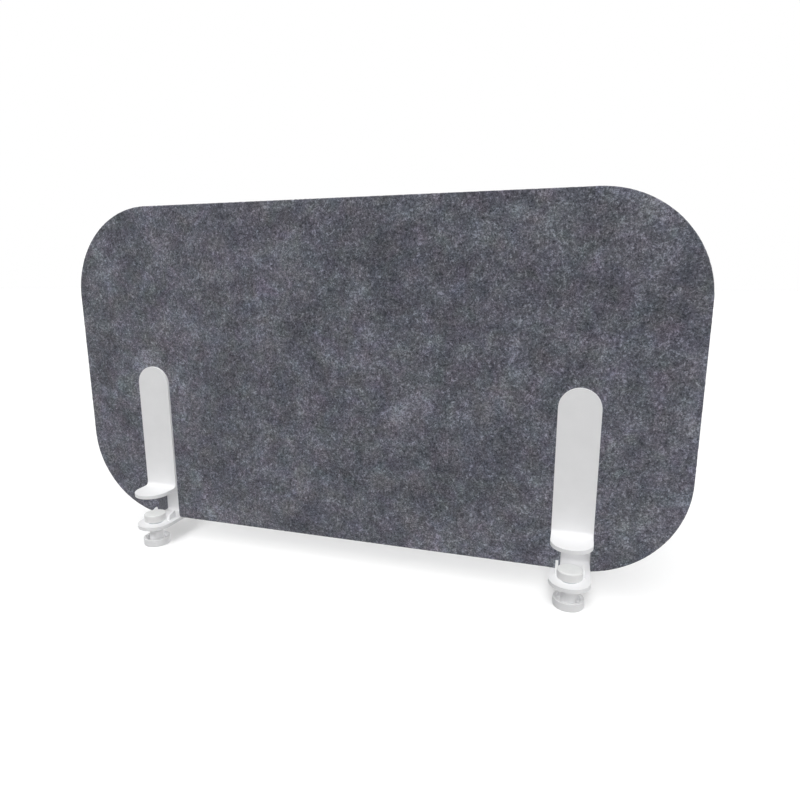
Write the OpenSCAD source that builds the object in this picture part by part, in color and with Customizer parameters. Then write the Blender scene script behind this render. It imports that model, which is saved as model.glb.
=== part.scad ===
// Desk clamp acoustic screen: a felt board held by two forked screw clamps.
// Millimetres. X runs left to right, Y runs front to back, Z is up.
// The origin is at the bottom centre of the whole screen, level with the knobs' undersides.

/* [Felt board] */
// Width of the board
board_w = 800; // [720:1:900]
// Height of the board
board_h = 430; // [360:1:600]
// Thickness of the felt
board_t = 20; // [16:0.5:26]
// Radius of the four outer corners
board_r = 118; // [40:1:150]

/* [Notches in the board's lower edge] */
// Distance from each end of the board to its notch's centre
notch_inset = 117.5; // [60:0.5:200]
// Width of a notch
notch_w = 33.8; // [30:0.1:38]
// Rounding where a notch opens at the lower edge
mouth_r = 4; // [2:0.5:6]
// Rounding in the notch's two upper corners
notch_top_r = 4; // [2:0.5:6]
// How far each clamp stands to the left of its notch's centre
clamp_shift = 5.4; // [3:0.1:6]
// Gap between the felt and the metal that holds it
board_gap = 0.3; // [0.2:0.05:0.5]

/* [Clamp brackets] */
// Width of the blades, the jaw and the lower plate
clamp_w = 47.2; // [45:0.1:52]
// Thickness of the front blade
blade_t = 3.5; // [3:0.1:4.5]
// Height of both blades above the jaw's upper face
blade_h = 172.3; // [120:0.1:220]
// Thickness of the jaw
jaw_t = 4.8; // [4:0.1:6]
// Thickness of the lower plate
plate_t = 4.8; // [4:0.1:6]
// Thickness of the rear plate
rear_t = 4.8; // [4.2:0.1:6]
// Clear height from the lower plate's upper face to the jaw's underside
throat_h = 41.7; // [40:0.1:50]
// Distance from the board's front face to the screw's axis
screw_reach = 22; // [21:0.1:30]
// Radius of the inner bends
bend_r = 5.5; // [3:0.1:6]
// Radius of the outer bend under the board, no more than the plates' thickness
outer_bend_r = 4; // [2:0.5:4]
// Height of the neck that joins the two brackets through the notch
neck_h = 22; // [20:0.5:30]

/* [Ribs on the lower plate] */
// Distance between the two rib centres
rib_spacing = 30.2; // [29.5:0.1:32]
// Thickness of a rib
rib_t = 3.3; // [2.5:0.1:4]
// Length of a rib, front to back
rib_l = 14.4; // [14:0.1:15]
// Height of a rib at the board
rib_h = 11.1; // [10:0.1:13]
// Radius of a rib's rounded nose
rib_nose_r = 7.4; // [6.8:0.1:7.6]
// Height of the nose's centre above the plate
rib_nose_lift = 0.9; // [0.5:0.1:1.5]

/* [Bracket screws] */
// Shank radius of a countersunk screw
fix_r = 2.5; // [2:0.5:2.5]
// Head radius
fix_head_r = 4.7; // [4.2:0.1:5]
// Height of the tapered head
fix_head_h = 2.4; // [2:0.1:2.8]
// Length of a screw with its head
fix_l = 18; // [14:0.5:20]
// Depth of the drilled hole past the screw's tip
fix_tip_gap = 0.5; // [0.2:0.1:1]
// Distance between the two screws, one above the other
fix_spacing = 11; // [10.5:0.1:12]
// Width of the hexagon socket across its corners
fix_key_d = 3.5; // [3:0.1:3.8]
// Depth of the hexagon socket
fix_key_h = 1.6; // [1.2:0.1:1.8]

/* [Jaw liner] */
// Thickness of the liner
liner_t = 1.5; // [1.3:0.1:2.5]
// Depth of its pocket in the jaw
liner_pocket = 1.2; // [0.8:0.1:1.2]
// Border of bare jaw left round the liner
liner_border = 3; // [2:0.1:5]

/* [Thread bush] */
// Radius of the bush in the plate
bush_r = 8; // [7.5:0.1:9]
// Radius of its flange
bush_flange_r = 10.5; // [10:0.1:11.5]
// Height of its flange above the plate
bush_flange_h = 2.7; // [2:0.1:3.5]

/* [Clamp screw] */
// Outer radius of the screw's thread
spindle_r = 5; // [4:0.5:5.5]
// Radius of the nose that turns in the pad
nose_r = 3.5; // [3.2:0.1:3.8]
// Radius of the groove the retaining ring sits in
groove_r = 2.5; // [2:0.1:2.7]
// Radial running clearance of a shaft in its hole
run_gap = 0.05; // [0.03:0.01:0.08]

/* [Knob] */
// Outer radius of the knob
knob_r = 17.6; // [16:0.1:20]
// Height of the knob's rim
knob_h = 9.7; // [8:0.1:12]
// Wall thickness of the rim
rim_t = 3.9; // [3:0.1:4.5]
// Thickness of the web that closes the knob's underside
web_t = 3; // [2:0.1:4]
// Radius of the hub
hub_r = 9; // [8:0.1:9]
// Height of the hub above the rim
hub_rise = 9.2; // [7:0.1:12]
// Travel left between the hub and the lower plate
knob_drop = 7.6; // [6:0.1:12]
// Radius of the cap in the knob's underside
cap_r = 6; // [4:0.1:7]
// Thickness of the cap
cap_t = 1.5; // [1:0.1:2]
// Height of the screw's end above the knob's underside
spindle_z = 5; // [4:0.1:6]

/* [Pad] */
// Radius of the pad
pad_r = 14.6; // [13.8:0.1:14.6]
// Height of the pad
pad_t = 9.4; // [9:0.1:11]
// Gap between the pad and the bush at its lowest place
pad_gap = 0.3; // [0.2:0.05:0.5]
// Radius of the facing disc
facing_r = 13; // [11:0.1:13.2]
// Thickness of the facing disc
facing_t = 1.8; // [1.6:0.1:2.2]
// Depth of its pocket in the pad
facing_pocket = 1.5; // [1:0.1:1.5]
// Radius of the pocket for the retaining ring
ring_pocket_r = 6.5; // [6.2:0.1:7.5]
// Depth of that pocket
ring_pocket_h = 3; // [2.5:0.1:3]
// Outer radius of the retaining ring
ring_r = 6; // [5:0.1:6]
// Thickness of the retaining ring
ring_t = 1; // [0.8:0.1:1.2]
// How far the nose stands above the retaining ring
nose_over = 1.2; // [0.8:0.1:1.2]

/* [Hidden] */
$fn = 36;
arc_facets = 90;
corner_facets = 160;
key_sides = 6;
// overrun of a cutting body past the face it cuts
over = 1;

felt_colour = [0.36, 0.37, 0.41];
white_colour = [0.93, 0.93, 0.92];
liner_colour = [0.30, 0.30, 0.31];
facing_colour = [0.84, 0.85, 0.83];
steel_colour = [0.66, 0.67, 0.68];
knob_colour = [0.90, 0.90, 0.90];

// heights, from the knobs' undersides up
hub_top = knob_h + hub_rise;
plate_z0 = hub_top + knob_drop;
plate_z1 = plate_z0 + plate_t;
board_z0 = plate_z1 + board_gap;
jaw_z0 = plate_z1 + throat_h;
jaw_z1 = jaw_z0 + jaw_t;
blade_top = jaw_z1 + blade_h;
neck_top = jaw_z0 + neck_h;
notch_h = neck_top - board_z0 + board_gap + notch_top_r;
flange_top = plate_z1 + bush_flange_h;
pad_z0 = flange_top + pad_gap;
pad_z1 = pad_z0 + pad_t;
ring_floor = pad_z1 - facing_pocket - ring_pocket_h;
nose_top = ring_floor + ring_t + nose_over;

// front to back, measured from the screw's axis
clamp_r = clamp_w / 2;
blade_back = screw_reach - board_gap;
blade_front = blade_back - blade_t;
rear_front = screw_reach + board_t + board_gap;
rear_back = rear_front + rear_t;
screw_y = clamp_r - (clamp_r + rear_back) / 2;

// widths and places along X
notch_x = board_w / 2 - notch_inset;
neck_w = notch_w - 2 * clamp_shift - 2 * board_gap;
fix_z = jaw_z0 + neck_h / 2;

// moves a clamp's piece from the screw's axis to its place, side -1 is the left one
module at_clamp(side) {
    translate([side * notch_x - clamp_shift, screw_y, 0]) children();
}

// a bar between two corners
module box(low, high) {
    translate(low) cube(high - low);
}

// a round bar along X, Y or Z
module along_x(radius, length) {
    rotate([0, 90, 0]) cylinder(r = radius, h = length);
}

module along_y(radius, length, facets = $fn) {
    rotate([-90, 0, 0]) cylinder(r = radius, h = length, $fn = facets);
}

// upright slab with a half-round top, its front face at y
module blade(y, thickness, bottom) {
    box([-clamp_r, y, bottom], [clamp_r, y + thickness, blade_top - clamp_r]);
    translate([0, y, blade_top - clamp_r]) along_y(clamp_r, thickness, arc_facets);
}

// flat tongue with a half-round front about the screw's axis
module tongue(radius, back, bottom, thickness) {
    box([-radius, 0, bottom], [radius, back, bottom + thickness]);
    translate([0, 0, bottom]) cylinder(r = radius, h = thickness, $fn = arc_facets);
}

// concave fillet along X; the corner is at y, z and the fillet goes to the front and up
module inner_fillet(x0, x1, y, z, radius) {
    difference() {
        box([x0, y - radius, z - over], [x1, y + over, z + radius]);
        translate([x0 - over, y - radius, z + radius]) along_x(radius, x1 - x0 + 2 * over);
    }
}

// the two bracket screws' places: the heads' outer faces at z = 0 and the tips up along z
module at_bracket_screws() {
    for (side = [-1, 1])
        translate([0, rear_back, fix_z + side * fix_spacing / 2]) rotate([90, 0, 0]) children();
}

module notch_cutter() {
    half = notch_w / 2;
    // the slot, with two rounded upper corners
    box([-half, -over, -over], [half, board_t + over, notch_h - notch_top_r]);
    box([-half + notch_top_r, -over, -over], [half - notch_top_r, board_t + over, notch_h]);
    for (side = [-1, 1])
        translate([side * (half - notch_top_r), -over, notch_h - notch_top_r])
            along_y(notch_top_r, board_t + 2 * over);
    // the two rounded mouth corners
    for (side = [-1, 1])
        translate([side * (half + mouth_r), 0, mouth_r])
            difference() {
                box([side < 0 ? 0 : -mouth_r - over, -over, -mouth_r - over],
                    [side < 0 ? mouth_r + over : 0, board_t + over, 0]);
                translate([0, -2 * over, 0]) along_y(mouth_r, board_t + 4 * over);
            }
}

module board() {
    color(felt_colour)
        translate([0, screw_y + screw_reach, board_z0])
            difference() {
                union() {
                    box([-board_w / 2, 0, board_r], [board_w / 2, board_t, board_h - board_r]);
                    box([-board_w / 2 + board_r, 0, 0], [board_w / 2 - board_r, board_t, board_h]);
                    for (side = [-1, 1])
                        for (z = [board_r, board_h - board_r])
                            translate([side * (board_w / 2 - board_r), 0, z])
                                along_y(board_r, board_t, corner_facets);
                }
                for (side = [-1, 1])
                    translate([side * notch_x, 0, 0]) notch_cutter();
            }
}

// front blade, jaw and the neck that goes back through the notch
module front_bracket() {
    color(white_colour)
        difference() {
            union() {
                blade(blade_front, blade_t, jaw_z0);
                tongue(clamp_r, blade_back, jaw_z0, jaw_t);
                inner_fillet(-clamp_r, clamp_r, blade_front, jaw_z1, bend_r);
                box([-neck_w / 2, blade_front, jaw_z0], [neck_w / 2, rear_front, neck_top]);
            }
            // pocket for the liner
            tongue(clamp_r - liner_border, blade_front - liner_border,
                   jaw_z0 - over, liner_pocket + over);
            // holes for the bracket screws
            at_bracket_screws() cylinder(r = fix_r + run_gap, h = fix_l + fix_tip_gap);
        }
}

// one rib: an upright back end at the board, a sloping top and a round nose
module rib() {
    nose_y = blade_back - rib_l + rib_nose_r;
    away = [blade_back - nose_y, rib_h - rib_nose_lift];
    turn = atan2(away[1], away[0]) + acos(rib_nose_r / norm(away));
    intersection() {
        union() {
            translate([-rib_t / 2, nose_y, plate_z1 + rib_nose_lift]) along_x(rib_nose_r, rib_t);
            translate([-rib_t / 2, 0, 0])
                rotate([90, 0, 90])
                    linear_extrude(height = rib_t)
                        polygon([
                            [nose_y, plate_z0 + plate_t / 2],
                            [blade_back, plate_z0 + plate_t / 2],
                            [blade_back, plate_z1 + rib_h],
                            [nose_y + rib_nose_r * cos(turn),
                             plate_z1 + rib_nose_lift + rib_nose_r * sin(turn)]
                        ]);
        }
        box([-rib_t, blade_back - rib_l - over, plate_z0 + plate_t / 2],
            [rib_t, blade_back, plate_z1 + rib_h + over]);
    }
}

// rear blade, lower plate, its two ribs and the bend seen through the notch
module rear_bracket() {
    color(white_colour)
        difference() {
            union() {
                blade(rear_front, rear_t, plate_z0 + outer_bend_r);
                tongue(clamp_r, rear_back - outer_bend_r, plate_z0, plate_t);
                // outer bend under the board
                intersection() {
                    translate([-clamp_r, rear_back - outer_bend_r, plate_z0 + outer_bend_r])
                        along_x(outer_bend_r, clamp_w);
                    box([-clamp_r, rear_back - outer_bend_r, plate_z0],
                        [clamp_r, rear_back, plate_z0 + outer_bend_r]);
                }
                inner_fillet(clamp_shift - notch_w / 2 + board_gap,
                             clamp_shift + notch_w / 2 - board_gap,
                             rear_front, plate_z1, bend_r);
                for (side = [-1, 1])
                    translate([side * rib_spacing / 2, 0, 0]) rib();
            }
            // hole for the thread bush
            translate([0, 0, plate_z0 - over]) cylinder(r = bush_r + run_gap, h = plate_t + 2 * over);
            // countersunk holes for the bracket screws
            at_bracket_screws() {
                translate([0, 0, -over]) cylinder(r = fix_head_r + run_gap, h = over);
                cylinder(r1 = fix_head_r + run_gap, r2 = fix_r + run_gap, h = fix_head_h);
                cylinder(r = fix_r + run_gap, h = rear_t + over);
            }
        }
}

// two countersunk screws from behind, into the neck
module bracket_screws() {
    color(steel_colour)
        at_bracket_screws()
            difference() {
                union() {
                    cylinder(r1 = fix_head_r, r2 = fix_r, h = fix_head_h);
                    cylinder(r = fix_r, h = fix_l);
                }
                translate([0, 0, -over]) cylinder(d = fix_key_d, h = fix_key_h + over, $fn = key_sides);
            }
}

// rubber sheet let into the underside of the jaw
module jaw_liner() {
    color(liner_colour)
        tongue(clamp_r - liner_border - run_gap, blade_front - liner_border - run_gap,
               jaw_z0 + liner_pocket - liner_t, liner_t);
}

// flanged bush that carries the screw's thread
module thread_bush() {
    color(steel_colour)
        difference() {
            union() {
                translate([0, 0, plate_z0]) cylinder(r = bush_r, h = plate_t + bush_flange_h);
                translate([0, 0, plate_z1]) cylinder(r = bush_flange_r, h = bush_flange_h);
            }
            translate([0, 0, plate_z0 - over])
                cylinder(r = spindle_r + run_gap, h = plate_t + bush_flange_h + 2 * over);
        }
}

// clamp screw: its thread's outside, the nose in the pad and the ring's groove
module spindle() {
    color(steel_colour)
        difference() {
            union() {
                translate([0, 0, spindle_z]) cylinder(r = spindle_r, h = flange_top - spindle_z);
                translate([0, 0, spindle_z]) cylinder(r = nose_r, h = nose_top - spindle_z);
            }
            difference() {
                translate([0, 0, ring_floor - run_gap]) cylinder(r = nose_r + over, h = ring_t + 2 * run_gap);
                translate([0, 0, ring_floor - over]) cylinder(r = groove_r, h = ring_t + 2 * over);
            }
        }
}

// knob: a rim, a web across its underside and a tall hub
module knob() {
    color(knob_colour)
        difference() {
            union() {
                cylinder(r = knob_r, h = knob_h, $fn = arc_facets);
                cylinder(r = hub_r, h = hub_top);
            }
            difference() {
                translate([0, 0, web_t]) cylinder(r = knob_r - rim_t, h = knob_h);
                cylinder(r = hub_r, h = hub_top);
            }
            translate([0, 0, spindle_z]) cylinder(r = spindle_r + run_gap, h = hub_top);
            translate([0, 0, -over]) cylinder(r = cap_r + run_gap, h = cap_t + over);
        }
}

// cap let into the knob's underside
module knob_cap() {
    color(white_colour) cylinder(r = cap_r, h = cap_t);
}

// pad that presses up under the desk
module pad() {
    color(white_colour)
        difference() {
            translate([0, 0, pad_z0]) cylinder(r = pad_r, h = pad_t, $fn = arc_facets);
            translate([0, 0, pad_z0 - over]) cylinder(r = nose_r + run_gap, h = pad_t);
            translate([0, 0, ring_floor]) cylinder(r = ring_pocket_r, h = pad_t);
            translate([0, 0, pad_z1 - facing_pocket]) cylinder(r = facing_r + run_gap, h = pad_t);
        }
}

// soft disc let into the pad's upper face
module pad_facing() {
    color(facing_colour)
        translate([0, 0, pad_z1 - facing_pocket]) cylinder(r = facing_r, h = facing_t);
}

// retaining ring that keeps the pad on the screw's nose
module pad_ring() {
    color(steel_colour)
        difference() {
            translate([0, 0, ring_floor]) cylinder(r = ring_r, h = ring_t);
            translate([0, 0, ring_floor - over]) cylinder(r = groove_r + run_gap, h = ring_t + 2 * over);
        }
}

module left_front_bracket() { at_clamp(-1) front_bracket(); }
module left_rear_bracket() { at_clamp(-1) rear_bracket(); }
module left_bracket_screws() { at_clamp(-1) bracket_screws(); }
module left_jaw_liner() { at_clamp(-1) jaw_liner(); }
module left_thread_bush() { at_clamp(-1) thread_bush(); }
module left_spindle() { at_clamp(-1) spindle(); }
module left_knob() { at_clamp(-1) knob(); }
module left_knob_cap() { at_clamp(-1) knob_cap(); }
module left_pad() { at_clamp(-1) pad(); }
module left_pad_facing() { at_clamp(-1) pad_facing(); }
module left_pad_ring() { at_clamp(-1) pad_ring(); }

module right_front_bracket() { at_clamp(1) front_bracket(); }
module right_rear_bracket() { at_clamp(1) rear_bracket(); }
module right_bracket_screws() { at_clamp(1) bracket_screws(); }
module right_jaw_liner() { at_clamp(1) jaw_liner(); }
module right_thread_bush() { at_clamp(1) thread_bush(); }
module right_spindle() { at_clamp(1) spindle(); }
module right_knob() { at_clamp(1) knob(); }
module right_knob_cap() { at_clamp(1) knob_cap(); }
module right_pad() { at_clamp(1) pad(); }
module right_pad_facing() { at_clamp(1) pad_facing(); }
module right_pad_ring() { at_clamp(1) pad_ring(); }

board();
left_front_bracket();
left_rear_bracket();
left_bracket_screws();
left_jaw_liner();
left_thread_bush();
left_spindle();
left_knob();
left_knob_cap();
left_pad();
left_pad_facing();
left_pad_ring();
right_front_bracket();
right_rear_bracket();
right_bracket_screws();
right_jaw_liner();
right_thread_bush();
right_spindle();
right_knob();
right_knob_cap();
right_pad();
right_pad_facing();
right_pad_ring();
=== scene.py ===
import math
import bmesh
import bpy
import numpy as np
from mathutils import Matrix, Vector
from mathutils.geometry import delaunay_2d_cdt


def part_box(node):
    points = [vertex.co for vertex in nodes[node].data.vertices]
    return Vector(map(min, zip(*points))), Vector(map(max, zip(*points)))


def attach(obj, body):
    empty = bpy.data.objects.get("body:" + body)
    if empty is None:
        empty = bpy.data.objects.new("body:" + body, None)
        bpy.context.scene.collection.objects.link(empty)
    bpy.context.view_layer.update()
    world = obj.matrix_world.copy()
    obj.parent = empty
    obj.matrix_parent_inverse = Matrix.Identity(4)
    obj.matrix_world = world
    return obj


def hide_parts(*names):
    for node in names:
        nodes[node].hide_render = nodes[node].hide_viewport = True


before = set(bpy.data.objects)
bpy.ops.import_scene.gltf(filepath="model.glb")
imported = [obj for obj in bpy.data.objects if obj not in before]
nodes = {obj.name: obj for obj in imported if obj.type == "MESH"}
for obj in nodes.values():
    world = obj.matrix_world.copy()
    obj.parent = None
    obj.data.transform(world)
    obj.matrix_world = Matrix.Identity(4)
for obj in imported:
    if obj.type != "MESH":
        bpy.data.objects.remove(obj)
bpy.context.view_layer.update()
scene = bpy.context.scene
scene.view_settings.view_transform = "Standard"
mm = 0.001
sides = ("left", "right")      # as seen from the front
print("frame:", len(nodes), "nodes")

# the viewpoint, worked out from the board's corners and the two clamps
viewpoint = {
    "place": (0.26953, -0.65157, 0.36482),       # m
    "forward": (-0.28552, 0.93736, -0.19957),    # direction of view
    "right": (0.95661, 0.29136, -0.0001),        # towards the picture's right
    "lens": 26.145,        # mm
    "sensor": 36.0,        # mm
    "nearest": 0.01,       # m, closer things aren't seen
}


def addCamera(v):
    # its three axes are made square to each other, the forward one kept
    right = Vector(v["right"]).normalized()
    back = -Vector(v["forward"]).normalized()
    up = back.cross(right).normalized()
    right = up.cross(back)
    turned = Matrix((right, up, back)).transposed().to_4x4()
    data = bpy.data.cameras.new("viewCamera")
    data.lens = v["lens"]
    data.sensor_width = v["sensor"]
    data.clip_start = v["nearest"]
    camera = bpy.data.objects.new("viewCamera", data)
    camera.matrix_world = Matrix.Translation(v["place"]) @ turned
    scene.collection.objects.link(camera)
    scene.camera = camera


addCamera(viewpoint)
print("camera placed")


def linear(hexColour):
    # sRGB hex to a linear colour
    c = np.array([int(hexColour[i:i + 2], 16) for i in (1, 3, 5)]) / 255
    c = np.where(c <= 0.04045, c / 12.92, ((c + 0.055) / 1.055) ** 2.4)
    return (float(c[0]), float(c[1]), float(c[2]), 1.0)


def addNode(tree, kind, settings=None, inputs=None):
    # one node with its settings; an input is a value or another node's output
    node = tree.nodes.new(kind)
    for name, value in (settings or {}).items():
        setattr(node, name, value)
    for name, value in (inputs or {}).items():
        if isinstance(value, bpy.types.NodeSocket):
            tree.links.new(value, node.inputs[name])
        else:
            node.inputs[name].default_value = value
    return node


def newMaterial(name):
    # a material with no nodes yet
    material = bpy.data.materials.new(name)
    material.use_nodes = True
    tree = material.node_tree
    tree.nodes.clear()
    return material, tree


mergeDistance = 0.000002   # m, under any real distance between two points of a piece


def placePiece(name, points, faces, material):
    # puts a finished surface in the scene, in metres, merged and facing outwards
    mesh = bpy.data.meshes.new(name)
    mesh.from_pydata((points * mm).tolist(), [], faces)
    work = bmesh.new()
    work.from_mesh(mesh)
    bmesh.ops.remove_doubles(work, verts=work.verts, dist=mergeDistance)
    bmesh.ops.recalc_face_normals(work, faces=work.faces)
    if work.calc_volume(signed=True) < 0:
        bmesh.ops.reverse_faces(work, faces=work.faces)
    work.to_mesh(mesh)
    work.free()
    mesh.polygons.foreach_set("use_smooth", np.ones(len(mesh.polygons), dtype=bool))
    mesh.materials.append(material)
    piece = bpy.data.objects.new(name, mesh)
    scene.collection.objects.link(piece)
    return piece


def gridFaces(rows, columns):
    # quads of a grid of rows by columns, its last column joined to its first
    r = np.arange(rows - 1)[:, None]
    c = np.arange(columns)[None, :]
    n = (c + 1) % columns
    here, above = r * columns, (r + 1) * columns
    quads = np.stack([here + c, here + n, above + n, above + c], -1)
    return quads.reshape(-1, 4).tolist()


feltLook = {
    # each noise: size in mm, detail, roughness, distortion and its share of the felt's shade
    "noises": {
        "fine": (1.7, 2.0, 0.6, 0.8, 1.11),
        "tuft": (3.4, 3.0, 0.6, 1.0, 1.22),
        "cloud": (24.0, 3.0, 0.55, 0.6, 0.72),
        "broad": (80.0, 2.0, 0.5, 0.3, 0.5),
    },
    # each lay of fibres: size in mm, width, place in the noise in m and share of the shade
    "fibres": [
        (6.5, 0.075, (0.0, 0.0, 0.0), 0.29),
        (9.0, 0.06, (0.31, 0.17, 0.23), 0.29),
        (7.5, 0.08, (0.11, 0.47, 0.05), -0.16),
    ],
    "fibreNoise": {"Detail": 1.5, "Roughness": 0.5, "Distortion": 1.8},
    "breakSize": 0.8,      # of the noise that breaks the fibres, over their own
    "breakNoise": {"Detail": 1.0, "Roughness": 0.5, "Distortion": 0.4},
    "breakSpan": (0.47, 0.6),      # of that noise, from a hidden fibre to a whole one
    "fibreRise": 2.0,      # relief of a pale fibre over its share of the shade
    "pitSize": 3.0,        # mm
    "pitNoise": {"Detail": 1.0, "Roughness": 0.5, "Distortion": 0.6},
    "pitSpan": (0.56, 0.74),       # of that noise, from the face to a pit's floor
    "pitShadeShare": -0.2,      # of the felt's shade, darker: painted shade in the pits
    "shadeStart": -1.347,  # brings the sum of the shares to the middle of the shades
    "shades": {0.0: "#34363c", 0.5: "#63646d", 1.0: "#a0a2ae"},
    "tintSize": 22.0,      # mm
    "tintNoise": {"Detail": 1.0, "Distortion": 0.5},
    "tint": 0.11,          # strength of the dye lots' hues
    "layerSize": 5.0,      # mm along the cut edge
    "layerStack": 5.0,     # how many times finer the layers are across it
    "layerNoise": {"Detail": 3.0, "Roughness": 0.6, "Distortion": 0.3},
    "layerStart": 0.25,    # taken off, to make room for the fine noise
    "layerFine": 0.5,      # share of the fine noise in them
    "edgeShades": {0.3: "#44464c", 0.7: "#84858d"},
    "faceSpan": (0.3, 0.8),        # how squarely a point faces front or back, edge to face
    "relief": (0.35, 0.5),         # strength and depth in mm
    "gloss": {"Roughness": 0.95, "Specular IOR Level": 0.15, "Sheen Weight": 0.15,
              "Sheen Roughness": 0.6},
}


def pressedFelt(look):
    # PET felt board: dyed and raw fibres carded together, needled and hot pressed, so the eye
    # gets a dry grey ground with lighter squiggles 5 to 10 mm long, pits darkened by painted shade
    # and soft clouds; real fibres are 0.03 mm thick and are drawn just under 1 mm wide, so that
    # they show
    material, tree = newMaterial("pressed PET felt")
    coordinates = addNode(tree, "ShaderNodeTexCoord")
    place = coordinates.outputs["Object"]
    shade = look["shadeStart"]
    noise = {}
    for name, (size, detail, roughness, distortion, share) in look["noises"].items():
        noise[name] = addNode(tree, "ShaderNodeTexNoise", {}, {
            "Vector": place, "Scale": 1 / (size * mm), "Detail": detail,
            "Roughness": roughness, "Distortion": distortion}).outputs["Fac"]
        shade = addNode(tree, "ShaderNodeMath", {"operation": "MULTIPLY_ADD"}, {
            0: noise[name], 1: share, 2: shade}).outputs[0]

    # single fibres: the line where a warped noise crosses its mean, broken up by another
    height = addNode(tree, "ShaderNodeMath", {"operation": "ADD"}, {
        0: noise["fine"], 1: noise["tuft"]}).outputs[0]
    for size, width, moved, share in look["fibres"]:
        shifted = addNode(tree, "ShaderNodeMapping", {}, {
            "Vector": place, "Location": moved}).outputs["Vector"]
        lay = addNode(tree, "ShaderNodeTexNoise", {}, {
            "Vector": shifted, "Scale": 1 / (size * mm), **look["fibreNoise"]})
        fromMean = addNode(tree, "ShaderNodeMath", {"operation": "SUBTRACT"}, {
            0: lay.outputs["Fac"], 1: 0.5})
        distance = addNode(tree, "ShaderNodeMath", {"operation": "ABSOLUTE"}, {
            0: fromMean.outputs[0]})
        line = addNode(tree, "ShaderNodeMapRange", {}, {
            "Value": distance.outputs[0], "From Min": 0.0, "From Max": width,
            "To Min": 1.0, "To Max": 0.0})
        breaks = addNode(tree, "ShaderNodeTexNoise", {}, {
            "Vector": shifted, "Scale": 1 / (size * look["breakSize"] * mm), **look["breakNoise"]})
        hidden, whole = look["breakSpan"]
        shown = addNode(tree, "ShaderNodeMapRange", {}, {
            "Value": breaks.outputs["Fac"], "From Min": hidden, "From Max": whole})
        fibre = addNode(tree, "ShaderNodeMath", {"operation": "MULTIPLY"}, {
            0: line.outputs[0], 1: shown.outputs[0]}).outputs[0]
        shade = addNode(tree, "ShaderNodeMath", {"operation": "MULTIPLY_ADD"}, {
            0: fibre, 1: share, 2: shade}).outputs[0]
        height = addNode(tree, "ShaderNodeMath", {"operation": "MULTIPLY_ADD"}, {
            0: fibre, 1: max(share, 0.0) * look["fibreRise"], 2: height}).outputs[0]

    # the pits: painted shade, darker towards each pit's floor, with no relief of their own
    pits = addNode(tree, "ShaderNodeTexNoise", {}, {
        "Vector": place, "Scale": 1 / (look["pitSize"] * mm), **look["pitNoise"]})
    pitEdge, pitFloor = look["pitSpan"]
    pitShade = addNode(tree, "ShaderNodeMapRange", {}, {
        "Value": pits.outputs["Fac"], "From Min": pitEdge, "From Max": pitFloor})
    shade = addNode(tree, "ShaderNodeMath", {"operation": "MULTIPLY_ADD"}, {
        0: pitShade.outputs[0], 1: look["pitShadeShare"], 2: shade}).outputs[0]

    # the dye lots: faint blue green, purple and olive patches
    face = addNode(tree, "ShaderNodeValToRGB", {}, {"Fac": shade})
    hues = addNode(tree, "ShaderNodeTexNoise", {}, {
        "Vector": place, "Scale": 1 / (look["tintSize"] * mm), **look["tintNoise"]})
    tinted = addNode(tree, "ShaderNodeMix", {"data_type": "RGBA", "blend_type": "OVERLAY"}, {
        0: look["tint"], 6: face.outputs["Color"], 7: hues.outputs["Color"]})

    # the cut edge shows the board's layers, stacked through its thickness
    stacked = addNode(tree, "ShaderNodeMapping", {}, {
        "Vector": place, "Scale": (1.0, look["layerStack"], 1.0)})
    layers = addNode(tree, "ShaderNodeTexNoise", {}, {
        "Vector": stacked.outputs["Vector"], "Scale": 1 / (look["layerSize"] * mm),
        **look["layerNoise"]})
    lowered = addNode(tree, "ShaderNodeMath", {"operation": "SUBTRACT"}, {
        0: layers.outputs["Fac"], 1: look["layerStart"]})
    edgeShade = addNode(tree, "ShaderNodeMath", {"operation": "MULTIPLY_ADD"}, {
        0: noise["fine"], 1: look["layerFine"], 2: lowered.outputs[0]})
    edge = addNode(tree, "ShaderNodeValToRGB", {}, {"Fac": edgeShade.outputs[0]})

    # both ramps start with two stops: one is kept and the others are added
    for ramp, shades in ((face, look["shades"]), (edge, look["edgeShades"])):
        stops = ramp.color_ramp.elements
        stops.remove(stops[1])
        for n, (position, hexColour) in enumerate(shades.items()):
            stop = stops[0] if n == 0 else stops.new(position)
            stop.position, stop.color = position, linear(hexColour)

    # the cut edge's colour where the surface turns away from front and back
    facing = addNode(tree, "ShaderNodeSeparateXYZ", {}, {"Vector": coordinates.outputs["Normal"]})
    square = addNode(tree, "ShaderNodeMath", {"operation": "ABSOLUTE"}, {0: facing.outputs["Y"]})
    onEdge, onFace = look["faceSpan"]
    flat = addNode(tree, "ShaderNodeMapRange", {}, {
        "Value": square.outputs[0], "From Min": onEdge, "From Max": onFace})
    colour = addNode(tree, "ShaderNodeMix", {"data_type": "RGBA"}, {
        0: flat.outputs[0], 6: edge.outputs["Color"], 7: tinted.outputs[2]})

    strength, depth = look["relief"]
    bump = addNode(tree, "ShaderNodeBump", {}, {
        "Strength": strength, "Distance": depth * mm, "Height": height})
    felt = addNode(tree, "ShaderNodeBsdfPrincipled", {}, {
        "Base Color": colour.outputs[2], "Normal": bump.outputs["Normal"], **look["gloss"]})
    addNode(tree, "ShaderNodeOutputMaterial", {}, {"Surface": felt.outputs[0]})
    return material


noiseSpan = (0.3, 0.7)     # where nearly all of a noise's values lie
patchNoise = {"Detail": 3.0, "Roughness": 0.55}


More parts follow.
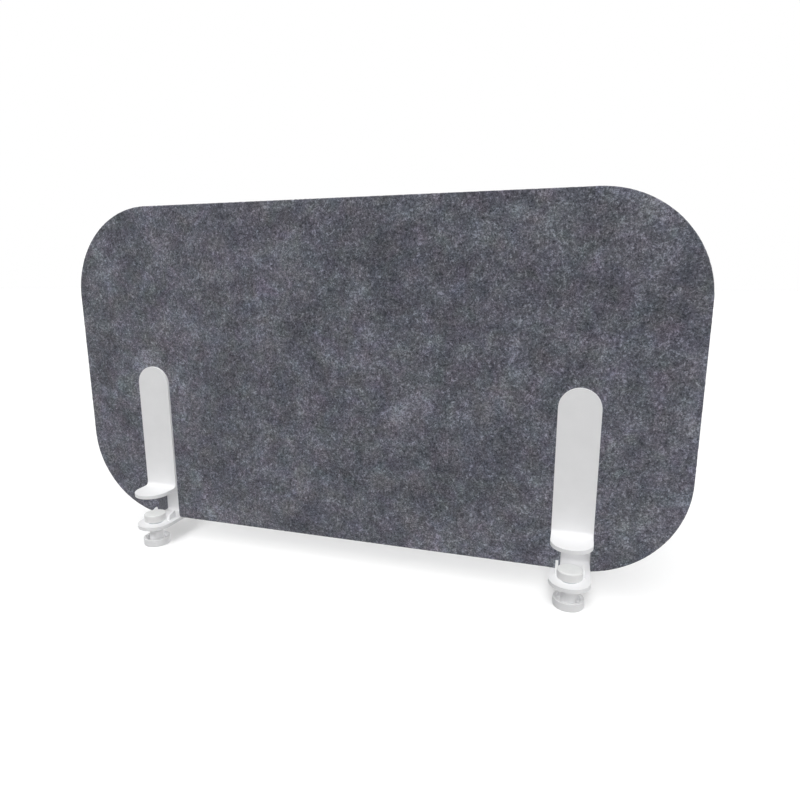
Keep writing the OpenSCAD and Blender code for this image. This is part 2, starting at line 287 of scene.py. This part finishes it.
def plainFinish(name, look):
    # a coat, moulding, rubber or metal: its colour wanders a little between two shades over
    # patches of one size, and its relief has a grain of another; sizes and depth in mm
    least, most = noiseSpan
    material, tree = newMaterial(name)
    place = addNode(tree, "ShaderNodeTexCoord").outputs["Object"]
    patch = addNode(tree, "ShaderNodeTexNoise", {}, {
        "Vector": place, "Scale": 1 / (look["patch"] * mm), **patchNoise})
    grain = addNode(tree, "ShaderNodeTexNoise", {}, {
        "Vector": place, "Scale": 1 / (look["grain"] * mm), "Detail": look["detail"],
        "Roughness": 0.5, "Distortion": look.get("curl", 0.0)})
    mixed = addNode(tree, "ShaderNodeMath", {"operation": "MULTIPLY_ADD"}, {
        0: grain.outputs["Fac"], 1: look["speckle"], 2: patch.outputs["Fac"]})
    spread = addNode(tree, "ShaderNodeMapRange", {}, {
        "Value": mixed.outputs[0], "From Min": least, "From Max": most + look["speckle"]})
    colour = addNode(tree, "ShaderNodeMix", {"data_type": "RGBA"}, {
        0: spread.outputs[0], 6: linear(look["dark"]), 7: linear(look["light"])})
    dull = addNode(tree, "ShaderNodeMapRange", {}, {
        "Value": patch.outputs["Fac"], "From Min": least, "From Max": most,
        "To Min": look["roughness"][0], "To Max": look["roughness"][1]})
    bump = addNode(tree, "ShaderNodeBump", {}, {
        "Strength": look["relief"], "Distance": look["depth"] * mm,
        "Height": grain.outputs["Fac"]})
    shader = addNode(tree, "ShaderNodeBsdfPrincipled", {}, {
        "Base Color": colour.outputs[2], "Roughness": dull.outputs[0],
        "Metallic": look.get("metallic", 0.0), "Normal": bump.outputs["Normal"]})
    if "ior" in look:
        shader.inputs["IOR"].default_value = look["ior"]
    addNode(tree, "ShaderNodeOutputMaterial", {}, {"Surface": shader.outputs[0]})
    return material


feltMaterial = pressedFelt(feltLook)

# polyester powder coat on steel plate, sprayed dry and baked: soft orange peel about 1 mm
# across, which the render shows only as a slight unevenness of the gloss
powderCoat = plainFinish("white powder coat", {
    "dark": "#e3e3e4", "light": "#e9e9ea", "patch": 22.0, "grain": 1.1, "detail": 1.0,
    "speckle": 0.25, "roughness": (0.52, 0.6), "relief": 0.12, "depth": 0.05, "ior": 1.5})

# polyamide, injection moulded in a spark eroded mould: an even fine grit of about 0.1 mm,
# drawn at 0.7 mm so that it shows
mouldedNylon = plainFinish("white moulded nylon", {
    "dark": "#e3e3e4", "light": "#eaeaeb", "patch": 14.0, "grain": 0.7, "detail": 2.0,
    "speckle": 0.4, "roughness": (0.56, 0.66), "relief": 0.15, "depth": 0.04, "ior": 1.53})

# the same, duller, for the pad; its greyer colour is painted shade, standing in for the shade on
# the pad's side under the jaw
padNylonPaintedShade = plainFinish("moulded nylon greyed with painted shade", {
    "dark": "#dbdbdb", "light": "#e2e2e2", "patch": 14.0, "grain": 0.7, "detail": 2.0,
    "speckle": 0.4, "roughness": (0.6, 0.72), "relief": 0.18, "depth": 0.04, "ior": 1.53})

# elastomer, cast in discs: pale grey and dull, its matt skin drawn at 0.5 mm
paleRubber = plainFinish("pale grey elastomer", {
    "dark": "#e6e7e6", "light": "#eeefee", "patch": 6.0, "grain": 0.5, "detail": 2.0,
    "speckle": 0.5, "roughness": (0.7, 0.85), "relief": 0.3, "depth": 0.06, "ior": 1.5})

# rubber, calendered to a sheet and dusted with chalk: dark, dull and slightly mottled, its
# dust drawn at 0.4 mm
darkRubber = plainFinish("dark rubber sheet", {
    "dark": "#3c3c3e", "light": "#57575a", "patch": 5.0, "grain": 0.4, "detail": 3.0,
    "speckle": 0.7, "roughness": (0.65, 0.85), "relief": 0.4, "depth": 0.08, "ior": 1.5})

# steel, turned, electroplated with zinc and passivated: bright and cool, patchy in its gloss,
# its crystals drawn at 0.35 mm
zincPlate = plainFinish("zinc plated steel", {
    "dark": "#a9adb2", "light": "#c9ccce", "patch": 3.0, "grain": 0.35, "detail": 2.0, "curl": 0.6,
    "speckle": 0.4, "roughness": (0.24, 0.4), "relief": 0.12, "depth": 0.03, "metallic": 1.0})
print("materials made")


# the felt board, with a soft cut edge and faces that aren't quite flat; mm
feltBoard = {
    "corner": 118.0,       # radius of the outer corners
    "notchFromEnd": 117.5,
    "notchWidth": 33.8,
    "notchHeight": 67.7,
    "mouth": 4.0,          # rounding at the notch's mouth and in its upper corners
    "edge": 1.3,           # softness of the cut edge
    "margin": 1.7,         # from the cut to where the face's own points start
    "edgeWave": 0.1,       # unevenness of the cut
    "faceWave": 0.1,       # unevenness of the pressed faces
    "step": 4.5,           # spacing of the points over the faces
    "clear": 0.6,          # of a step left free inside the margin
    "roundPoints": 5,      # over the cut edge's quarter turn
    # points along the right half's outline, in the order in which it runs
    "points": {"foot": 80, "innerMouth": 7, "innerSide": 20, "innerCorner": 7, "notchTop": 9,
               "outerCorner": 7, "outerSide": 20, "outerMouth": 3, "lowerRound": 56,
               "end": 62, "upperRound": 60, "top": 90},
    # waves: how many, the least and most of their range, and what their sum is divided by
    "cutWaves": (40, 60, 500, 6),          # whole waves round the board
    "swells": (24, 15, 60, 5),             # mm long
    "seed": 7,
}


def arcPoints(cx, cz, radius, start, end, count):
    # centre plus radius times the cosine and sine of an even run of angles
    a = np.radians(np.linspace(start, end, count))
    return np.stack([cx + radius * np.cos(a), cz + radius * np.sin(a)], 1)


def linePoints(a, b, count):
    # an even mix of the two ends
    t = np.linspace(0, 1, count)[:, None]
    return np.array(a) * (1 - t) + np.array(b) * t


def boardOutline(b, width, height):
    # lines and arcs of the right half, from the lower edge's middle round to the upper edge's,
    # and their mirror image; x and z as seen from the front
    half = b["notchWidth"] / 2
    notchX = width / 2 - b["notchFromEnd"]
    left, right, top = notchX - half, notchX + half, b["notchHeight"]
    m, r, n = b["mouth"], b["corner"], b["points"]
    corner = np.array([width / 2 - r, r])
    mouth = np.array([right + m, m])
    # where the outer mouth rounding meets the corner's arc: two circles crossing
    apart = mouth - corner
    d = np.hypot(*apart)
    along = (r ** 2 - m ** 2 + d ** 2) / (2 * d)
    across = math.sqrt(r ** 2 - along ** 2)
    u = apart / d
    meet = corner + along * u + across * np.array([u[1], -u[0]])
    mouthEnd = math.degrees(math.atan2(*(meet - mouth)[::-1])) % 360
    cornerStart = math.degrees(math.atan2(*(meet - corner)[::-1]))
    parts = [
        linePoints((0, 0), (left - m, 0), n["foot"]),
        arcPoints(left - m, m, m, -90, 0, n["innerMouth"]),
        linePoints((left, m), (left, top - m), n["innerSide"]),
        arcPoints(left + m, top - m, m, 180, 90, n["innerCorner"]),
        linePoints((left + m, top), (right - m, top), n["notchTop"]),
        arcPoints(right - m, top - m, m, 90, 0, n["outerCorner"]),
        linePoints((right, top - m), (right, m), n["outerSide"]),
        arcPoints(right + m, m, m, 180, mouthEnd, n["outerMouth"]),
        arcPoints(*corner, r, cornerStart, 0, n["lowerRound"]),
        linePoints((width / 2, r), (width / 2, height - r), n["end"]),
        arcPoints(width / 2 - r, height - r, r, 0, 90, n["upperRound"]),
        linePoints((width / 2 - r, height), (0, height), n["top"]),
    ]
    rightHalf = np.concatenate([parts[0][:1]] + [points[1:] for points in parts])
    return np.concatenate([rightHalf, rightHalf[-2:0:-1] * np.array([-1, 1])])


def fillFace(edgeLoop, b, width, height):
    # triangles between the loop and a triangular lattice of points inside it, by Delaunay's
    # rule; inside is a rounded rectangle's distance less the two notches'
    step = b["step"]
    z = np.arange(0, height, step * math.sqrt(0.75))
    x = np.arange(-width / 2, width / 2, step)
    shift = step / 2 * (np.arange(len(z)) % 2)[:, None]
    lattice = np.stack(np.broadcast_arrays(x[None] + shift, z[:, None]), -1).reshape(-1, 2)
    reach = np.abs(lattice - [0, height / 2]) - [width / 2 - b["corner"], height / 2 - b["corner"]]
    outer = np.hypot(*np.maximum(reach, 0).T) + np.minimum(reach.max(1), 0) - b["corner"]
    fromNotch = np.abs(np.abs(lattice[:, 0]) - width / 2 + b["notchFromEnd"])
    notch = np.maximum(fromNotch - b["notchWidth"] / 2, lattice[:, 1] - b["notchHeight"])
    inside = lattice[np.maximum(outer, -notch) < -(b["margin"] + b["clear"] * step)]
    count = len(edgeLoop)
    joins = np.stack([np.arange(count), np.roll(np.arange(count), -1)], 1)
    flat = np.concatenate([edgeLoop, inside])
    wholeHull, tolerance = 0, 0.0001
    filled = delaunay_2d_cdt([Vector(v) for v in flat], joins.tolist(), [], wholeHull,
                             tolerance, False)
    points, triangles = np.array(filled[0]), np.array(filled[2])
    # a triangle that spans the loop from outside meets its points in the wrong order
    onLoop = (triangles < count).all(1)
    first, second, third = np.moveaxis(points[np.sort(triangles, 1)], 1, 0)
    p, q = second - first, third - first
    turned = p[:, 0] * q[:, 1] - p[:, 1] * q[:, 0]
    return points, triangles[~(onLoop & (turned < 0))]


def makeFeltBoard(b):
    # rim: the outline moved inwards by the section's inset less the cut's waves, at the depth of
    # the section; faces: filled flat, then front and back swell by sums of sine waves
    low, high = (np.array(v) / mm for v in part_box("board"))
    width, thick, height = high - low
    loop = boardOutline(b, width, height)
    ahead, behind = np.roll(loop, -1, 0), np.roll(loop, 1, 0)
    steps = np.hypot(*(ahead - loop).T)
    length = np.concatenate([[0], np.cumsum(steps)[:-1]])
    tangent = (ahead - loop) / steps[:, None] + (loop - behind) / np.roll(steps, 1)[:, None]
    tangent /= np.hypot(*tangent.T)[:, None]
    inward = np.stack([-tangent[:, 1], tangent[:, 0]], 1)
    # the cut wanders a little along the edge, as whole waves round the board
    random = np.random.default_rng(b["seed"])
    count, least, most, divisor = b["cutWaves"]
    waves = random.integers(least, most, count)
    phase = random.uniform(0, 2 * math.pi, count)
    cut = np.sin(2 * math.pi * length[:, None] / steps.sum() * waves + phase).sum(1) / divisor
    # the rim's section: flat margin, quarter turn and side of the front half, then of the back,
    # with the side in thirds
    turn = np.radians(np.linspace(0, 90, b["roundPoints"]))
    soft = np.stack([b["edge"] * (1 - np.cos(turn)), b["edge"] * (1 - np.sin(turn))], 1)
    straight = [[0, thick / 2], [0, thick / 3], [0, thick / 6]]
    half = np.concatenate([straight, soft, [[b["margin"], 0]]])
    inset = np.concatenate([half[::-1, 0], half[1:, 0]])
    depth = np.concatenate([half[::-1, 1], thick - half[1:, 1]])
    onSide = np.clip(np.minimum(depth, thick - depth) / b["edge"], 0, 1)[:, None]
    rim = loop + (inset[:, None] - b["edgeWave"] * cut)[..., None] * inward
    # the faces swell and sink in waves that run in all directions, front and back
    count, least, most, divisor = b["swells"]
    size = random.uniform(least, most, count)
    heading = random.uniform(0, 2 * math.pi, count)
    swellPhase = random.uniform(0, 2 * math.pi, (2, count))
    turns = 2 * math.pi * np.stack([np.cos(heading), np.sin(heading)]) / size
    flat, triangles = fillFace(rim[0], b, width, height)
    rimSwell = [np.sin(rim @ turns + p).sum(-1) for p in swellPhase]
    rimDepth = depth[:, None] + b["faceWave"] / divisor * (1 - onSide) * np.where(
        depth[:, None] < thick / 2, rimSwell[0], rimSwell[1])
    front, back = (np.sin(flat @ turns + p).sum(-1) * b["faceWave"] / divisor for p in swellPhase)
    points = np.concatenate([
        np.stack([rim[..., 0], rimDepth, rim[..., 1]], -1).reshape(-1, 3),
        np.stack([flat[:, 0], front, flat[:, 1]], 1),
        np.stack([flat[:, 0], thick + back, flat[:, 1]], 1)]) + [0.0, low[1], low[2]]
    start = rimDepth.size
    faces = gridFaces(*rimDepth.shape)
    faces += (triangles + start).tolist() + (triangles + start + len(flat)).tolist()
    piece = placePiece("feltBoard", points, faces, feltMaterial)
    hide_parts("board")
    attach(piece, "board")
    print("felt board:", len(piece.data.polygons), "faces")


makeFeltBoard(feltBoard)


# the clamp screws with their threads; mm, heights above the floor at rest
clampScrew = {
    "outer": 5.0,          # radius over the crests
    "pitch": 1.5,
    "depth": 0.92,
    "flank": (3.2, 0.3),   # slope of the thread's wave, and what its flat crest takes off it
    "fade": 1.4,           # length over which the thread starts and ends, in chamfers
    "rows": 12,            # points up a turn
    "around": 44,          # points round it
    "bottom": 5.0,
    "threadTop": 34.0,
    "noseRadius": 3.5,     # the end that turns in the pad
    "groove": (39.15, 40.25),      # for the pad's ring
    "grooveRadius": 2.5,
    "grooveEdge": 0.1,     # chamfer of the groove's edges
    "top": 41.4,
    "chamfer": 0.6,
}


def makeClampScrew(name, node, body, s):
    # thread: radius = outer less depth times a trapezoid wave of height over pitch less the
    # turn, fading at both ends; nose: radius against height, with the ring's groove
    low, high = (np.array(v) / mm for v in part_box(node))
    cx, cy = (low[:2] + high[:2]) / 2
    lowest, threadTop, top, chamfer = s["bottom"], s["threadTop"], s["top"], s["chamfer"]
    lastRow = threadTop + 0.001        # so that the run of heights takes in the thread's top
    z = np.arange(lowest, lastRow, s["pitch"] / s["rows"])
    angle = np.linspace(0, 2 * math.pi, s["around"], endpoint=False)
    wave = (z[:, None] / s["pitch"] - angle[None] / (2 * math.pi)) % 1.0
    slope, crest = s["flank"]
    cutIn = np.clip(np.abs(wave - 0.5) * slope - crest, 0, 1)
    ends = np.clip(np.minimum(z - lowest, threadTop - z) / (s["fade"] * chamfer), 0, 1)
    lead = chamfer * (1 - ends)
    thread = s["outer"] - lead[:, None] - s["depth"] * cutIn * ends[:, None]
    g0, g1 = s["groove"]
    full, waist, e = s["noseRadius"], s["grooveRadius"], s["grooveEdge"]
    nose = np.array([
        [threadTop, full], [g0 - e, full], [g0, full - e], [g0, waist], [g1, waist],
        [g1, full - e], [g1 + e, full], [top - chamfer, full], [top, full - chamfer], [top, 0.0]])
    heights = np.concatenate([[lowest], z, nose[:, 0]])
    radii = np.concatenate([np.zeros((1, len(angle))), thread,
                            np.repeat(nose[:, 1:], len(angle), 1)])
    points = np.stack([cx + radii * np.cos(angle), cy + radii * np.sin(angle),
                       np.repeat(heights[:, None], len(angle), 1)], -1)
    piece = placePiece(name, points.reshape(-1, 3), gridFaces(*radii.shape), zincPlate)
    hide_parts(node)
    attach(piece, body)


for side in sides:
    makeClampScrew(side + "SpindleThread", side + "_spindle", side + "_screw", clampScrew)
print("clamp screws cut")


# the solids that stay, left and right: material and edge rounding in mm
solidFinish = {
    "front_bracket": (powderCoat, 0.4),
    "rear_bracket": (powderCoat, 0.4),
    "bracket_screws": (zincPlate, 0.15),
    "jaw_liner": (darkRubber, 0.2),
    "thread_bush": (zincPlate, 0.3),
    "knob": (mouldedNylon, 0.6),
    "knob_cap": (mouldedNylon, 0.3),
    # the pad's nylon is greyed with painted shade
    "pad": (padNylonPaintedShade, 0.6),
    "pad_facing": (paleRubber, 0.25),
    "pad_ring": (zincPlate, 0.15),
}

# how an edge is found and rounded
edgeRounding = {
    "weld": 0.005,         # mm, joins the solid's loose triangles
    "flatWithin": 1.0,     # degrees, flat faces made whole first
    "cornerFrom": 32.0,    # degrees, edges of curved faces stay under it
    "segments": 3,
}


def finishSolid(name, material, rounding, e):
    solid = nodes[name]
    for slot in solid.material_slots:
        slot.material = material
    weld = solid.modifiers.new("weld", "WELD")
    weld.merge_threshold = e["weld"] * mm
    flatten = solid.modifiers.new("flatten", "DECIMATE")
    flatten.decimate_type = "DISSOLVE"
    flatten.angle_limit = math.radians(e["flatWithin"])
    soften = solid.modifiers.new("soften", "BEVEL")
    soften.width = rounding * mm
    soften.segments = e["segments"]
    soften.limit_method = "ANGLE"
    soften.angle_limit = math.radians(e["cornerFrom"])
    solid.modifiers.new("even", "WEIGHTED_NORMAL")


for side in sides:
    for part, (material, rounding) in solidFinish.items():
        finishSolid(side + "_" + part, material, rounding, edgeRounding)
# the hidden solids get their pieces' materials
nodes["board"].material_slots[0].material = feltMaterial
for side in sides:
    nodes[side + "_spindle"].material_slots[0].material = zincPlate
print("solids finished")


# floor and light
studio = {
    "floorHalf": 25.0,     # m
    "floorSeen": "#fcfcfc",        # to the camera and in reflections
    "floorGiven": "#808080",       # what it throws back on the object
    "floorGlow": "#484848",        # added to what is seen, so that the far floor stays white
    "toothScale": 900.0,   # grains to the metre, about 1.1 mm each
    "tooth": (0.05, 0.1),  # strength and depth in mm
    "sky": 0.36,           # what the surroundings give the object
    "lampHeight": 3.0,     # m, only to keep the lamps off the object, their light comes from afar
    # strength of each lamp, degrees across, direction of travel, and what casts its shadow
    "lamps": {
        "keyLamp": (0.58, 60.0, (0.0, 0.44, -0.9), "low"),
        "keyShare": (0.8, 28.0, (0.0, 0.44, -0.9), "feet"),
        "lowKey": (0.5, 40.0, (0.0, 0.83, -0.56), "front"),
        "formLamp": (0.25, 50.0, (0.1, 0.4, -0.9), "all"),
        "overheadFill": (0.4, 150.0, (0.0, 0.0, -1.0), "none"),
        "floorFill": (0.15, 150.0, (0.0, 0.0, 1.0), "none"),
        "frontFill": (0.12, 70.0, (0.0, 1.0, 0.0), "none"),
        "backFill": (1.1, 40.0, (0.0, -1.0, 0.08), "none"),
        "leftFill": (0.08, 40.0, (1.0, 0.0, 0.0), "low"),
        "rightFill": (0.8, 40.0, (-1.0, 0.0, 0.0), "low"),
    },
}


def seenDirectly(tree):
    # 1 for the camera, reflections and glass, 0 for the light that objects get
    path = addNode(tree, "ShaderNodeLightPath")
    seen = addNode(tree, "ShaderNodeMath", {"operation": "MAXIMUM"}, {
        0: path.outputs["Is Camera Ray"], 1: path.outputs["Is Glossy Ray"]})
    return addNode(tree, "ShaderNodeMath", {"operation": "MAXIMUM"}, {
        0: seen.outputs[0], 1: path.outputs["Is Transmission Ray"]}).outputs[0]


def makeStudio(s):
    # background paper, pulp rolled smooth: matt white with a faint tooth
    material, tree = newMaterial("white paper floor")
    place = addNode(tree, "ShaderNodeTexCoord").outputs["Object"]
    tooth = addNode(tree, "ShaderNodeTexNoise", {}, {
        "Vector": place, "Scale": s["toothScale"], "Detail": 1.0})
    strength, depth = s["tooth"]
    bump = addNode(tree, "ShaderNodeBump", {}, {
        "Strength": strength, "Distance": depth * mm, "Height": tooth.outputs["Fac"]})
    paperColour = addNode(tree, "ShaderNodeMix", {"data_type": "RGBA"}, {
        0: seenDirectly(tree), 6: linear(s["floorGiven"]), 7: linear(s["floorSeen"])})
    paperGlow = addNode(tree, "ShaderNodeMix", {"data_type": "RGBA"}, {
        0: seenDirectly(tree), 6: linear("#000000"), 7: linear(s["floorGlow"])})
    paper = addNode(tree, "ShaderNodeBsdfPrincipled", {}, {
        "Base Color": paperColour.outputs[2], "Roughness": 1.0, "Specular IOR Level": 0.0,
        "Emission Color": paperGlow.outputs[2], "Emission Strength": 1.0,
        "Normal": bump.outputs["Normal"]})
    addNode(tree, "ShaderNodeOutputMaterial", {}, {"Surface": paper.outputs[0]})
    h = s["floorHalf"]
    mesh = bpy.data.meshes.new("floor")
    mesh.from_pydata([(-h, -h, 0), (h, -h, 0), (h, h, 0), (-h, h, 0)], [], [(0, 1, 2, 3)])
    mesh.materials.append(material)
    floor = bpy.data.objects.new("floor", mesh)
    scene.collection.objects.link(floor)

    world = bpy.data.worlds.new("studio")
    scene.world = world
    world.use_nodes = True
    tree = world.node_tree
    tree.nodes.clear()
    given = addNode(tree, "ShaderNodeBackground", {}, {
        "Color": linear("#ffffff"), "Strength": s["sky"]})
    white = addNode(tree, "ShaderNodeBackground", {}, {
        "Color": linear("#ffffff"), "Strength": 1.0})
    both = addNode(tree, "ShaderNodeMixShader", {}, {
        0: seenDirectly(tree), 1: given.outputs[0], 2: white.outputs[0]})
    addNode(tree, "ShaderNodeOutputWorld", {}, {"Surface": both.outputs[0]})

    # what casts a lamp's shadow: the jaws are left out for the key and the side fills, because
    # they would darken the pads under them, and the board for a share of the key, so that the
    # floor stays light; the low key has them all
    feet = [nodes[side + "_" + part] for side in sides for part in ("rear_bracket", "knob")]
    low = feet + [bpy.data.objects["feltBoard"]]
    front = low + [nodes[side + "_front_bracket"] for side in sides]
    casters = {"feet": feet, "low": low, "front": front}
    for group, solids in casters.items():
        casters[group] = bpy.data.collections.new(group + "Casters")
        for solid in solids:
            casters[group].objects.link(solid)
    for name, (strength, spread, travel, caster) in s["lamps"].items():
        lamp = bpy.data.lights.new(name, "SUN")
        lamp.energy = strength
        lamp.angle = math.radians(spread)
        lamp.use_shadow = caster != "none"
        # a wide lamp with chosen casters, or none, would lose light by importance sampling
        lamp.cycles.use_multiple_importance_sampling = caster == "all"
        lampObject = bpy.data.objects.new(name, lamp)
        if caster in casters:
            lampObject.light_linking.blocker_collection = casters[caster]
        lampObject.rotation_euler = Vector(travel).to_track_quat("-Z", "Y").to_euler()
        lampObject.location = (0, 0, s["lampHeight"])
        scene.collection.objects.link(lampObject)


makeStudio(studio)
print("studio lit")
